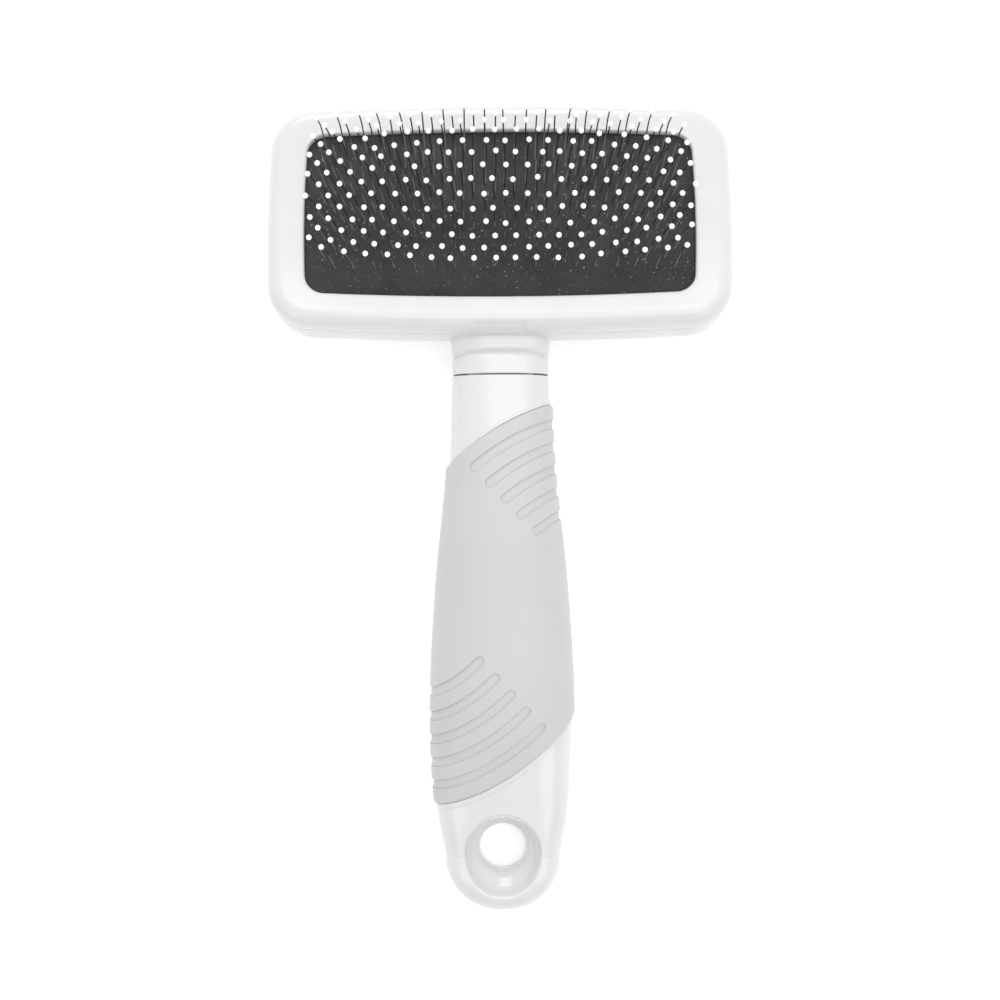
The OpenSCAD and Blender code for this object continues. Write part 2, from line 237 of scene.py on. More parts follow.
def loft_faces(rings, count, cap_start=False, cap_end=False, closed=False):
    """Quads between successive rings of count points each."""
    faces = []
    for k in range(rings if closed else rings - 1):
        a, b = k * count, ((k + 1) % rings) * count
        for i in range(count):
            j = (i + 1) % count
            faces.append((a + i, a + j, b + j, b + i))
    if cap_start:
        faces.append(tuple(reversed(range(count))))
    if cap_end:
        faces.append(tuple(range((rings - 1) * count, rings * count)))
    return faces


def loft(name, rings, body, material, cap_start=False, cap_end=False, closed=False, angle=35):
    verts = np.concatenate(rings)
    faces = loft_faces(len(rings), len(rings[0]), cap_start, cap_end, closed)
    return new_object(name, verts, faces, body, material, angle)


def in_head(points):
    """Points on the head's plane, moved to the brush's frame."""
    m = np.array(HEAD)
    return points @ m[:3, :3].T + m[:3, 3]


def smooth_step(value, low, high):
    t = np.clip((value - low) / (high - low), 0, 1)
    return t * t * (3 - 2 * t)


# ---------- materials ----------

def material(name):
    mat = bpy.data.materials.new(name)
    mat.use_nodes = True
    return mat, mat.node_tree.nodes, mat.node_tree.links, mat.node_tree.nodes["Principled BSDF"]


def add(nodes, kind, **values):
    node = nodes.new(kind)
    for key, value in values.items():
        if key in node.inputs:
            node.inputs[key].default_value = value
        else:
            setattr(node, key, value)
    return node


def noise(nodes, links, scale, detail=3.0, roughness=0.5):
    coords = nodes.new("ShaderNodeTexCoord")
    node = add(nodes, "ShaderNodeTexNoise", Scale=scale, Detail=detail, Roughness=roughness)
    links.new(coords.outputs["Object"], node.inputs["Vector"])
    return node


def ramp(nodes, links, source, stops):
    node = nodes.new("ShaderNodeValToRGB")
    node.color_ramp.elements[0].position = stops[0][0]
    node.color_ramp.elements[0].color = (*stops[0][1], 1)
    node.color_ramp.elements[1].position = stops[-1][0]
    node.color_ramp.elements[1].color = (*stops[-1][1], 1)
    for place, color in stops[1:-1]:
        element = node.color_ramp.elements.new(place)
        element.color = (*color, 1)
    links.new(source, node.inputs["Fac"])
    return node


def grey(v, warm=0.0):
    return (v + warm, v, v - warm)


def bump(nodes, links, bsdf, height, strength, distance, after=None):
    node = add(nodes, "ShaderNodeBump", Strength=strength, Distance=distance)
    links.new(height, node.inputs["Height"])
    if after is not None:
        links.new(after.outputs["Normal"], node.inputs["Normal"])
    links.new(node.outputs["Normal"], bsdf.inputs["Normal"])
    return node


def white_plastic():
    mat, nodes, links, bsdf = material("white_gloss_plastic")
    cloud = noise(nodes, links, 60, 2)
    tint = ramp(nodes, links, cloud.outputs["Fac"], [(0.3, grey(0.775, 0.002)), (0.7, grey(0.795, 0.001))])
    links.new(tint.outputs["Color"], bsdf.inputs["Base Color"])
    smear = noise(nodes, links, 220, 4)
    gloss = ramp(nodes, links, smear.outputs["Fac"], [(0.35, grey(0.17)), (0.75, grey(0.27))])
    links.new(gloss.outputs["Color"], bsdf.inputs["Roughness"])
    wave = noise(nodes, links, 90, 1)
    bump(nodes, links, bsdf, wave.outputs["Fac"], 0.08, 0.0006)
    bsdf.inputs["IOR"].default_value = 1.49
    bsdf.inputs["Coat Weight"].default_value = 0.25
    bsdf.inputs["Coat Roughness"].default_value = 0.08
    return mat


def soft_grip(name, tone):
    mat, nodes, links, bsdf = material(name)
    cloud = noise(nodes, links, 35, 3)
    cool, warm = (tone - 0.025, tone - 0.018, tone - 0.02), (tone + 0.015, tone + 0.015, tone + 0.005)
    tint = ramp(nodes, links, cloud.outputs["Fac"], [(0.3, cool), (0.7, warm)])
    speck = noise(nodes, links, 2600, 1)
    dust = ramp(nodes, links, speck.outputs["Fac"], [(0.72, grey(1.0)), (0.78, grey(0.86))])
    mix = nodes.new("ShaderNodeMixRGB")
    mix.blend_type = "MULTIPLY"
    mix.inputs["Fac"].default_value = 1.0
    links.new(tint.outputs["Color"], mix.inputs["Color1"])
    links.new(dust.outputs["Color"], mix.inputs["Color2"])
    links.new(mix.outputs["Color"], bsdf.inputs["Base Color"])
    patch = noise(nodes, links, 120, 3)
    gloss = ramp(nodes, links, patch.outputs["Fac"], [(0.3, grey(0.46)), (0.7, grey(0.56))])
    links.new(gloss.outputs["Color"], bsdf.inputs["Roughness"])
    grain = noise(nodes, links, 4200, 2)
    bump(nodes, links, bsdf, grain.outputs["Fac"], 0.18, 0.00008)
    bsdf.inputs["Sheen Weight"].default_value = 0.12
    bsdf.inputs["Sheen Roughness"].default_value = 0.5
    return mat


def wire_steel():
    """Drawn wire with painted shade: light grey near the pad and painted near black towards the tips, with
    painted glints on some wires.
    """
    mat, nodes, links, bsdf = material("pin_wire_steel")
    front = NORMAL.dot(HEAD.to_translation())
    place = add(nodes, "ShaderNodeTexCoord")
    height = add(nodes, "ShaderNodeVectorMath", operation="DOT_PRODUCT")
    links.new(place.outputs["Object"], height.inputs[0])
    height.inputs[1].default_value = NORMAL
    # Painted shade: the base colour darkens with height above the pad, standing in for the wire's shading
    # towards the tips.
    rise = add(nodes, "ShaderNodeMapRange")
    links.new(height.outputs["Value"], rise.inputs["Value"])
    rise.inputs["From Min"].default_value = front + 2 * MM
    rise.inputs["From Max"].default_value = front + 12 * MM
    # Painted glints: this noise lightens the base colour on some stretches of wire; it also varies the
    # roughness.
    glint_and_gloss_noise = noise(nodes, links, 300, 2)
    shade = add(nodes, "ShaderNodeMath", operation="MULTIPLY_ADD")
    links.new(glint_and_gloss_noise.outputs["Fac"], shade.inputs[0])
    shade.inputs[1].default_value = 0.8
    links.new(rise.outputs["Result"], shade.inputs[2])
    tint = ramp(nodes, links, shade.outputs["Value"], [(0.45, grey(0.62)), (0.95, grey(0.09))])
    links.new(tint.outputs["Color"], bsdf.inputs["Base Color"])
    gloss = ramp(nodes, links, glint_and_gloss_noise.outputs["Fac"], [(0.3, grey(0.16)), (0.7, grey(0.26))])
    links.new(gloss.outputs["Color"], bsdf.inputs["Roughness"])
    bsdf.inputs["Metallic"].default_value = 0.6
    return mat


def ball_plastic():
    mat, nodes, links, bsdf = material("ball_tip_plastic")
    cloud = noise(nodes, links, 700, 2)
    tint = ramp(nodes, links, cloud.outputs["Fac"], [(0.3, grey(0.92)), (0.7, grey(0.95))])
    links.new(tint.outputs["Color"], bsdf.inputs["Base Color"])
    gloss = ramp(nodes, links, cloud.outputs["Fac"], [(0.3, grey(0.18)), (0.7, grey(0.28))])
    links.new(gloss.outputs["Color"], bsdf.inputs["Roughness"])
    bsdf.inputs["IOR"].default_value = 1.5
    bsdf.inputs["Subsurface Weight"].default_value = 0.6
    bsdf.inputs["Subsurface Radius"].default_value = (1, 1, 1)
    bsdf.inputs["Subsurface Scale"].default_value = 0.0006
    # Painted light: the tips glow faintly, standing in for the bright light on them.
    bsdf.inputs["Emission Color"].default_value = (1, 1, 1, 1)
    bsdf.inputs["Emission Strength"].default_value = 0.22
    return mat


def twill_height(nodes, links):
    """Diagonal ribs crossed by finer ones, half a millimetre apart, in the head's own plane."""
    coords = nodes.new("ShaderNodeTexCoord")
    ribs = []
    for angle, scale in ((45, 2 * math.pi / (20 * 0.5 * MM)), (-45, 2 * math.pi / (20 * 0.42 * MM))):
        turn = nodes.new("ShaderNodeMapping")
        turn.inputs["Rotation"].default_value = (0, 0, math.radians(angle))
        links.new(coords.outputs["Object"], turn.inputs["Vector"])
        wave = add(nodes, "ShaderNodeTexWave", Scale=scale, Distortion=0.6, Detail=2.0)
        wave.inputs["Detail Scale"].default_value = 2.0
        links.new(turn.outputs["Vector"], wave.inputs["Vector"])
        ribs.append(wave)
    both = add(nodes, "ShaderNodeMath", operation="MULTIPLY_ADD")
    links.new(ribs[1].outputs["Fac"], both.inputs[0])
    both.inputs[1].default_value = 0.45
    links.new(ribs[0].outputs["Fac"], both.inputs[2])
    return both


def pad_cloth():
    mat, nodes, links, bsdf = material("pad_twill_cloth")
    ribs = twill_height(nodes, links)
    weave = ramp(nodes, links, ribs.outputs["Value"], [(0.1, grey(0.028)), (0.9, grey(0.062))])
    cloud = noise(nodes, links, 90, 4)
    shade = ramp(nodes, links, cloud.outputs["Fac"], [(0.3, grey(0.68)), (0.7, grey(1.12))])
    mix = nodes.new("ShaderNodeMixRGB")
    mix.blend_type = "MULTIPLY"
    mix.inputs["Fac"].default_value = 1.0
    links.new(weave.outputs["Color"], mix.inputs["Color1"])
    links.new(shade.outputs["Color"], mix.inputs["Color2"])
    lint = noise(nodes, links, 1500, 2)
    mask = ramp(nodes, links, lint.outputs["Fac"], [(0.66, grey(0.0)), (0.74, grey(1.0))])
    dusty = nodes.new("ShaderNodeMixRGB")
    links.new(mask.outputs["Color"], dusty.inputs["Fac"])
    links.new(mix.outputs["Color"], dusty.inputs["Color1"])
    dusty.inputs["Color2"].default_value = (0.30, 0.30, 0.29, 1)
    links.new(dusty.outputs["Color"], bsdf.inputs["Base Color"])
    bump(nodes, links, bsdf, ribs.outputs["Value"], 0.6, 0.00012)
    bsdf.inputs["Roughness"].default_value = 0.88
    bsdf.inputs["Sheen Weight"].default_value = 0.25
    bsdf.inputs["Sheen Roughness"].default_value = 0.4
    return mat


def foam_rubber():
    mat, nodes, links, bsdf = material("cushion_foam")
    cells = noise(nodes, links, 1800, 3)
    tint = ramp(nodes, links, cells.outputs["Fac"], [(0.35, grey(0.05)), (0.65, grey(0.13))])
    links.new(tint.outputs["Color"], bsdf.inputs["Base Color"])
    bump(nodes, links, bsdf, cells.outputs["Fac"], 0.5, 0.0003)
    bsdf.inputs["Roughness"].default_value = 0.95
    return mat


def carrier_plastic():
    mat, nodes, links, bsdf = material("carrier_plastic")
    cloud = noise(nodes, links, 140, 3)
    tint = ramp(nodes, links, cloud.outputs["Fac"], [(0.3, grey(0.50)), (0.7, grey(0.56))])
    links.new(tint.outputs["Color"], bsdf.inputs["Base Color"])
    bsdf.inputs["Roughness"].default_value = 0.5
    return mat


# ---------- front frame ----------

def front_frame(mat):
    """Glossy bezel: rolled outer edge, flat front, bevelled window, lip over the cushion."""
    outer, inner = head_outline, window_outline
    bevel, edge = 0.6 * MM, 0.22 * MM
    rings = [level(outer(WALL + WALL_GAP), -FRAME_DEPTH), level(outer(0.25 * MM), -FRAME_DEPTH),
             level(outer(0.07 * MM), -FRAME_DEPTH + 0.07 * MM), level(outer(), -FRAME_DEPTH + 0.25 * MM)]
    steps = 14
    for i in range(steps + 1):
        a = math.pi / 2 * i / steps
        rings.append(level(outer(FRONT_ROUND * (1 - math.cos(a))), -FRONT_ROUND * (1 - math.sin(a))))
    roll, window = outer(FRONT_ROUND), inner(-bevel)
    for t in (0.25, 0.5, 0.75, 0.95):
        rings.append(level(roll * (1 - t) + window * t, 0))
    for d, z in ((0.0, 0.0), (0.3, 0.03), (0.7, 0.14), (1.0, 0.3)):
        rings.append(level(inner(-bevel * (1 - d)), -z * MM))
    rings.append(level(inner(), -LIP + edge))
    rings.append(level(inner(-edge * 0.3), -LIP + edge * 0.3))
    rings.append(level(inner(-edge), -LIP))
    rings.append(level(outer(WALL + WALL_GAP), -LIP))
    rings = [catch_recess(r) for r in rings]
    piece = loft("frame_bezel", [in_head(r) for r in rings], ROOT, mat, closed=True, angle=50)
    for x in (-TONGUE_PITCH, 0, TONGUE_PITCH):
        for side in (-1, 1):
            join_solids(piece, snap_tongue(x, side, mat))
    tidy_mesh(piece, 50)
    return finish_piece(piece, "white_plastic", "front_frame")


def snap_tongue(x, side, mat):
    """Tongue that reaches from the frame's lip into the tray, just inside the frame's wall."""
    bow = HEAD_BOW * (2 * x / HEAD_W) ** 2
    y = side * (HEAD_H / 2 - WALL - WALL_GAP - TONGUE_T / 2 - bow)
    low = (x - TONGUE_W / 2, y - TONGUE_T / 2, -FRAME_DEPTH - TONGUE_REACH)
    high = (x + TONGUE_W / 2, y + TONGUE_T / 2, -LIP + 0.5 * MM)
    return rounded_box("tongue_part", low, high, mat, HEAD)


def catch_recess(ring):
    """Shallow pry recess at the middle of the rim on the handle side."""
    half, deep = 6.4 * MM, 0.35 * MM
    x, y, z = ring.T
    across = 1 - smooth_step(np.abs(x), half - 0.5 * MM, half)
    along = smooth_step(z, -3.9 * MM, -3.2 * MM) * (1 - smooth_step(z, -1.1 * MM, -0.5 * MM))
    low = (y < -HEAD_H / 2 + FRONT_ROUND) & (z < -0.3 * MM)
    push = deep * across * along * low
    return np.column_stack([x, y + push * 0.8, z - push * 0.6])


def finish_piece(piece, slot, *nodes):
    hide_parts(*nodes)
    return piece


# ---------- head back and neck ----------

def head_back(mat):
    """Back tray with a rolled edge, and the neck that grows out of it."""
    outer, inside = head_outline, -HEAD_DEPTH + FLOOR
    rings = [level(outer(20 * MM) * 0.02, inside)]
    rings += [level(outer(WALL + 1.2 * MM), inside),
              level(outer(WALL + 0.35 * MM), inside + 0.35 * MM),
              level(outer(WALL), inside + 1.2 * MM),
              level(outer(WALL), -FRAME_DEPTH - 0.1 * MM),
              level(outer(0.25 * MM), -FRAME_DEPTH - 0.1 * MM),
              level(outer(0.07 * MM), -FRAME_DEPTH - 0.17 * MM), level(outer(), -FRAME_DEPTH - 0.35 * MM)]
    steps = 12
    for i in range(steps + 1):
        a = math.pi / 2 * i / steps
        in_by, up_by = BACK_ROUND * (1 - math.cos(a)), BACK_ROUND * (1 - math.sin(a))
        rings.append(level(outer(in_by), -HEAD_DEPTH + up_by))
    rings.append(level(outer(20 * MM) * 0.02, -HEAD_DEPTH))
    tray = loft("head_back_shell", [in_head(r) for r in rings], ROOT, mat, True, True)
    neck = loft("neck_part", neck_rings(), ROOT, mat, True, True)
    join_solids(tray, neck)
    join_solids(tray, tenon_box("tenon_part", TENON_Y, 0.0, mat))
    for x in RIB_X:
        low = (x - RIB_T / 2, -RIB_L / 2, inside - 0.5 * MM)
        high = (x + RIB_T / 2, RIB_L / 2, PLATE_TOP - PLATE_T)
        join_solids(tray, rounded_box("rib_part", low, high, mat, HEAD))
    tidy_mesh(tray, 40)
    return finish_piece(tray, "white_plastic", "head_shell")


def tenon_box(name, places, fit, mat):
    """The tongue that joins the neck to the handle, or with some fit the socket for it."""
    half, rise = TENON_W / 2 + fit, TENON_H / 2 + fit
    return rounded_box(name, (-half, places[0], TENON_Z - rise), (half, places[1], TENON_Z + rise), mat)


def neck_rings():
    """Rings from the saddle to the end face, which is hollowed a little round the tenon."""
    rings = [section(y, a, low, high, 128) for y, a, low, high in refine(NECK_STATIONS, 4)]
    rings.append(section(*NECK_HOLLOW, 128))
    for ring in rings[:-1]:
        x, y = ring.T[:2]
        near = smooth_step(y, 33.6 * MM, 36.8 * MM) * (1 - smooth_step(y, 38.5 * MM, 41 * MM))
        ring[:, 1] = y - COLLAR_ARCH * near * np.clip(np.abs(x) / (11.8 * MM), 0, 1) ** 4
    return rings


def refine(stations, steps):
    """Smooth stations between the given ones, in metres."""
    table = [tuple(v * MM for v in row) for row in stations]
    rows = []
    for i in range(len(table) - 1):
        for k in range(steps):
            y = table[i][0] + (table[i + 1][0] - table[i][0]) * k / steps
            rows.append((y,) + tuple(lookup(table, y, c) for c in (1, 2, 3)))
    return rows + [table[-1]]


def rounded_box(name, low, high, mat, place=None):
    low, high = Vector(low), Vector(high)
    bm = bmesh.new()
    bmesh.ops.create_cube(bm, size=1)
    bmesh.ops.scale(bm, vec=high - low, verts=bm.verts)
    bmesh.ops.translate(bm, vec=(low + high) / 2, verts=bm.verts)
    bmesh.ops.bevel(bm, geom=bm.edges, offset=BOX_ROUND, segments=3, affect="EDGES")
    if place is not None:
        bmesh.ops.transform(bm, matrix=place, verts=bm.verts)
    mesh = bpy.data.meshes.new(name)
    bm.to_mesh(mesh)
    bm.free()
    obj = bpy.data.objects.new(name, mesh)
    bpy.context.scene.collection.objects.link(obj)
    obj.data.materials.append(mat)
    return obj


def join_solids(target, tool, operation="UNION"):
    """Exact boolean of two closed meshes; the tool is removed."""
    modifier = target.modifiers.new("solid", "BOOLEAN")
    modifier.operation = operation
    modifier.solver = "EXACT"
    modifier.object = tool
    apply_modifiers(target)
    bpy.data.objects.remove(tool)


def apply_modifiers(obj):
    bpy.context.view_layer.update()
    evaluated = obj.evaluated_get(bpy.context.evaluated_depsgraph_get())
    mesh = bpy.data.meshes.new_from_object(evaluated)
    obj.modifiers.clear()
    obj.data = mesh


# ---------- cushion ----------

def dome(x, y):
    u = np.clip(np.abs(2 * x / WINDOW_W), 0, 1)
    v = np.clip(np.abs(2 * y / WINDOW_H), 0, 1)
    return DOME * (1 - u * u) * (1 - v * v) ** 2


def dome_normal(x, y):
    u, v = 2 * x / WINDOW_W, 2 * y / WINDOW_H
    slope_x = -DOME * 8 * x / WINDOW_W ** 2 * (1 - v * v) ** 2
    slope_y = -DOME * (1 - u * u) * 16 * y / WINDOW_H ** 2 * (1 - v * v)
    return Vector((-slope_x, -slope_y, 1)).normalized()


def domed(points, scale, z):
    p = points * scale
    return level(p, z + dome(p[:, 0], p[:, 1]))


def cushion_sheet(mat):
    """Domed sheet under the frame's lip."""
    shape = window_outline(-PAD_MARGIN, (16, 10, 44))
    scales = [1 - 0.012 * i for i in range(6)] + list(np.linspace(0.92, 0.01, 60))
    round_edge = 0.3 * MM
    rings = [domed(shape, s, PAD_TOP - PAD_T) for s in reversed(scales)]
    rings[-1] = level(window_outline(-PAD_MARGIN + round_edge, (16, 10, 44)), PAD_TOP - PAD_T)
    rings.append(level(shape, PAD_TOP - PAD_T + round_edge))
    rings.append(level(shape, PAD_TOP - round_edge))
    rings.append(level(window_outline(-PAD_MARGIN + round_edge, (16, 10, 44)), PAD_TOP))
    rings += [domed(shape, s, PAD_TOP) for s in scales[1:]]
    piece = loft("cushion_sheet", [in_head(r) for r in rings], BED, mat, True, True, angle=60)
    return finish_piece(piece, "pad_cloth", "pin_pad")


def foam_block(mat):
    """Foam between the sheet and the carrier plate."""
    shape = outline(WINDOW_W - 1 * MM, WINDOW_H - 1 * MM, WINDOW_R, 1 * MM, SIDE_BOW, 0, (12, 8, 36))
    soft = outline(WINDOW_W - 1 * MM, WINDOW_H - 1 * MM, WINDOW_R, 1 * MM, SIDE_BOW, 0.4 * MM, (12, 8, 36))
    under = PAD_TOP - PAD_T - 2 * WIRE_R - 0.4 * MM
    rings = [level(soft * 0.02, PLATE_TOP), level(soft, PLATE_TOP), level(shape, PLATE_TOP + 0.4 * MM),
             level(shape, under - 0.4 * MM), level(soft, under)]
    rings += [domed(shape, s, under) for s in np.linspace(0.96, 0.01, 26)]
    piece = loft("cushion_foam", [in_head(r) for r in rings], ROOT, mat, True, True, angle=60)
    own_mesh(piece)
    return finish_piece(piece, "foam", "pad_foam")


# ---------- pins ----------

def turned(v, angle):
    return Matrix.Rotation(-angle, 3, "X") @ v


def pin_path(x, y, rng):
    """Foot, knee and tip of one leg on the head's plane, with a little natural scatter."""
    foot = Vector((x, y, PAD_TOP + float(dome(np.array(x), np.array(y)))))
    lower = turned(dome_normal(x, y), LEAN + rng.gauss(0, LOWER_SCATTER))
    upper = turned(dome_normal(x, y), LEAN - KNEE + rng.gauss(0, UPPER_SCATTER))
    sway = Vector((rng.gauss(0, SWAY_SCATTER), 0, 0))
    knee = foot + (lower + sway).normalized() * LEG_LOW
    tip = knee + (upper + sway).normalized() * LEG_HIGH
    return foot, knee, tip


def rounded_path(points, radius, steps=5):
    """The points with each corner replaced by a short curve."""
    path = [points[0]]
    for a, b, c in zip(points, points[1:], points[2:]):
        reach = min(radius, (b - a).length * 0.45, (c - b).length * 0.45)
        start, end = b + (a - b).normalized() * reach, b + (c - b).normalized() * reach
        for k in range(steps + 1):
            t = k / steps
            path.append(start * (1 - t) ** 2 + b * 2 * t * (1 - t) + end * t ** 2)
    return path + [points[-1]]


def wire_rings(path, radius, sides=8):
    rings = []
    for i, p in enumerate(path):
        ahead = path[min(i + 1, len(path) - 1)] - path[max(i - 1, 0)]
        t = ahead.normalized()
        u = (Vector((0, 1, 0)) - t * t.y).normalized()
        v = t.cross(u)
        rings.append([p + (u * math.cos(a) + v * math.sin(a)) * radius
                      for a in (2 * math.pi * k / sides for k in range(sides))])
    return rings


def ball_mesh(center, direction, verts, faces):
    """Ball tip, drawn about the line of its wire."""
    rings, sides = 14, 18
    turn = direction.to_track_quat("Z", "Y").to_matrix()
    base = len(verts)
    verts.append(center - turn @ Vector((0, 0, BALL_R)))
    for i in range(1, rings):
        a = math.pi * i / rings
        for k in range(sides):
            b = 2 * math.pi * k / sides
            spot = Vector((math.sin(a) * math.cos(b), math.sin(a) * math.sin(b), -math.cos(a)))
            verts.append(center + turn @ spot * BALL_R)
    top = len(verts)
    verts.append(center + turn @ Vector((0, 0, BALL_R)))
    for i in range(sides):
        j = (i + 1) % sides
        faces.append((base, base + 1 + j, base + 1 + i))
        for k in range(rings - 2):
            a, b = base + 1 + k * sides, base + 1 + (k + 1) * sides
            faces.append((a + i, a + j, b + j, b + i))
        faces.append((top - sides + i, top - sides + j, top))


def pin_row(i, wire_mat, ball_mat, rng):
    """Nine two-legged staples and their eighteen ball tips."""
    y = FIELD_SHIFT + (i - (ROWS + 1) / 2) * ROW_PITCH
    shift = (1 if i % 2 else -1) * STAPLE_PITCH / 8
    verts, faces, ball_verts, ball_faces = [], [], [], []
    for k in range(STAPLES):
        middle = shift + (k - (STAPLES - 1) / 2) * STAPLE_PITCH
        legs = [pin_path(middle + s * LEG_GAP / 2, y, rng) for s in (-1, 1)]
        backs = [foot - Vector((0, 0, PAD_T + WIRE_R)) for foot, _, _ in legs]
        (foot_a, knee_a, tip_a), (foot_b, knee_b, tip_b) = legs
        path = rounded_path([tip_a, knee_a, foot_a, backs[0], backs[1], foot_b, knee_b, tip_b], BEND_R)
        rings = wire_rings([HEAD @ p for p in path], WIRE_R)
        base = len(verts)
        sides = len(rings[0])
        verts.extend(p for ring in rings for p in ring)
        faces.extend(tuple(base + n for n in f) for f in loft_faces(len(rings), sides, True, True))
        for foot, knee, tip in legs:
            direction = HEAD.to_3x3() @ (tip - knee).normalized()
            ball_mesh(HEAD @ tip, direction, ball_verts, ball_faces)
    row = new_object(f"pins_{i:02d}", verts, faces, BED, wire_mat, 60)
    finish_piece(row, "wire", f"pin_row_{i:02d}")
    balls = new_object(f"balls_{i:02d}", ball_verts, ball_faces, BED, ball_mat, 60)
    finish_piece(balls, "ball_tip", f"tips_row_{i:02d}")


# ---------- handle ----------

def slope(table, i, c):
    a, b = max(0, i - 1), min(len(table) - 1, i + 1)
    return (table[b][c] - table[a][c]) / (table[b][0] - table[a][0])


def lookup(table, y, c):
    """Smooth value of column c at y, in a table ordered from head to tail."""
    i = 0
    while i < len(table) - 2 and y < table[i + 1][0]:
        i += 1
    span = table[i + 1][0] - table[i][0]
    s = (y - table[i][0]) / span
    leaving = slope(table, i, c) * span * (s ** 3 - 2 * s ** 2 + s)
    arriving = slope(table, i + 1, c) * span * (s ** 3 - s ** 2)
    ease = 3 * s ** 2 - 2 * s ** 3
    return table[i][c] * (1 - ease) + leaving + table[i + 1][c] * ease + arriving


HANDLE_TABLE = [tuple(v * MM for v in row) for row in HANDLE_STATIONS]


def fade(y, p):
    """Share of the tail's size that is left towards its round end."""
    if y > TAIL_START:
        return 1.0
    t = min(1.0, (TAIL_START - y) / (TAIL_START - TAIL_Y))
    return max(0.0, 1 - t ** p) ** (1 / p)


def handle_size(y):
    """Half width, middle height and half height of the hard core at a place along the brush."""
    place = max(y, TAIL_START)
    low, high = lookup(HANDLE_TABLE, place, 2), lookup(HANDLE_TABLE, place, 3)
    wide = lookup(HANDLE_TABLE, place, 1) * fade(y, TAIL_PLAN_POWER)
    half = (high - low) / 2 * fade(y, TAIL_SIDE_POWER)
    return wide, (low + high) / 2, half


def curve(v):
    """Sine or cosine, bent for a section that is squarer than an ellipse."""
    return math.copysign(abs(v) ** (2 / SECTION_POWER), v)


def section(y, a, low, high, count):
    points = []
    for k in range(count):
        t = 2 * math.pi * k / count
        points.append((a * curve(math.cos(t)), y, (low + high) / 2 + (high - low) / 2 * curve(math.sin(t))))
    return np.array(points)


def handle_point(y, t, lift):
    """Point on the handle at place y and angle t, lifted off the hard core's surface."""
    a, mid, half = handle_size(y)
    below = min(lift, 0.0) if math.sin(t) < 0 else lift
    return ((a + lift) * curve(math.cos(t)), y, mid + (half + below) * curve(math.sin(t)))


def arc_y(x, end, inset=0.0):
    """Place along the brush of an arc about the end's centre, at x."""
    radius = end["r"] - inset
    return end["y"] + end["side"] * math.sqrt(max(radius ** 2 - (x - end["x"]) ** 2, 1e-12))


def arc_at(t, end, inset=0.0):
    """Place along the brush where the arc crosses the handle's line at angle t."""
    y = arc_y(0.0, end, inset)
    for _ in range(14):
        y = 0.5 * y + 0.5 * arc_y(handle_point(y, t, 0)[0], end, inset)
    return y


def surface(y, t, lift):
    """Point and outward normal of the handle at place y and angle t."""
    step = 0.01 * MM
    p = Vector(handle_point(y, t, lift))
    along = Vector(handle_point(y + step, t, lift)) - Vector(handle_point(y - step, t, lift))
    around = Vector(handle_point(y, t + 0.002, lift)) - Vector(handle_point(y, t - 0.002, lift))
    return p, along.cross(around).normalized()


def angle_of(x, y, back):
    """Angle t of the handle's line through a place in plan, on the front or the back."""
    a = handle_size(y)[0]
    ratio = max(-1.0, min(1.0, x / a))
    t = math.acos(math.copysign(abs(ratio) ** (SECTION_POWER / 2), ratio))
    return -t if back else t


def groove_cutter(end, i):
    """Closed sweep over one groove: from its front end, round the handle's side, to its back end."""
    inset = end["first"] + i * end["pitch"]
    radius = end["r"] - inset
    angle = math.radians(end["angle"] + i * end["turn"])
    stop = (end["x"] + radius * math.cos(angle), end["y"] + radius * math.sin(angle))
    front = angle_of(*stop, False)
    way = 0.0 if end["side"] > 0 else math.pi
    turns = np.linspace(front, 2 * way - front, 90)
    line = [surface(arc_at(t, end, inset), t, 0.0) for t in turns]
    spine = [(p, n, 1.0) for p, n in line]
    for index, tip in ((0, -1), (-1, 1)):
        p, n = line[index]
        inner = line[index - tip][0] if index else line[1][0]
        out = (p - inner).normalized()
        cap = [(p + out * GROOVE_W / 2 * math.sin(a), n, max(math.cos(a), 0.04))
               for a in (math.pi / 2 * k / 8 for k in range(1, 9))]
        spine = list(reversed(cap)) + spine if tip < 0 else spine + cap
    rings = []
    for k, (p, n, width) in enumerate(spine):
        ahead = spine[min(k + 1, len(spine) - 1)][0] - spine[max(k - 1, 0)][0]
        b = ahead.cross(n).normalized()
        half = GROOVE_W / 2 * width
        rings.append([p + b * half * u + n * v for u, v in groove_profile()])
    return rings


def groove_profile():
    """Across a groove, in half widths and heights: steep sides, and a floor that is lowest beside them."""
    floor, crown, above = GRIP_PROUD - GROOVE_DEEP, 0.13 * MM, GRIP_PROUD + 0.8 * MM
    bottom = [(u, floor + crown * (1 - u ** 4)) for u in (-0.95, -0.8, -0.5, 0, 0.5, 0.8, 0.95)]
    rim = GRIP_PROUD + 0.02 * MM
    return bottom + [(1.03, rim), (1.15, above), (-1.15, above), (-1.03, rim)]


def grip_lift(distance):
    """Height of the grip near its ends: a rounded shoulder over the last stretch."""
    reach = 1.1 * MM
    near = min(distance, reach) / reach
    return GRIP_PROUD * (0.35 + 0.65 * math.sqrt(max(0.0, 1 - (1 - near) ** 2)))


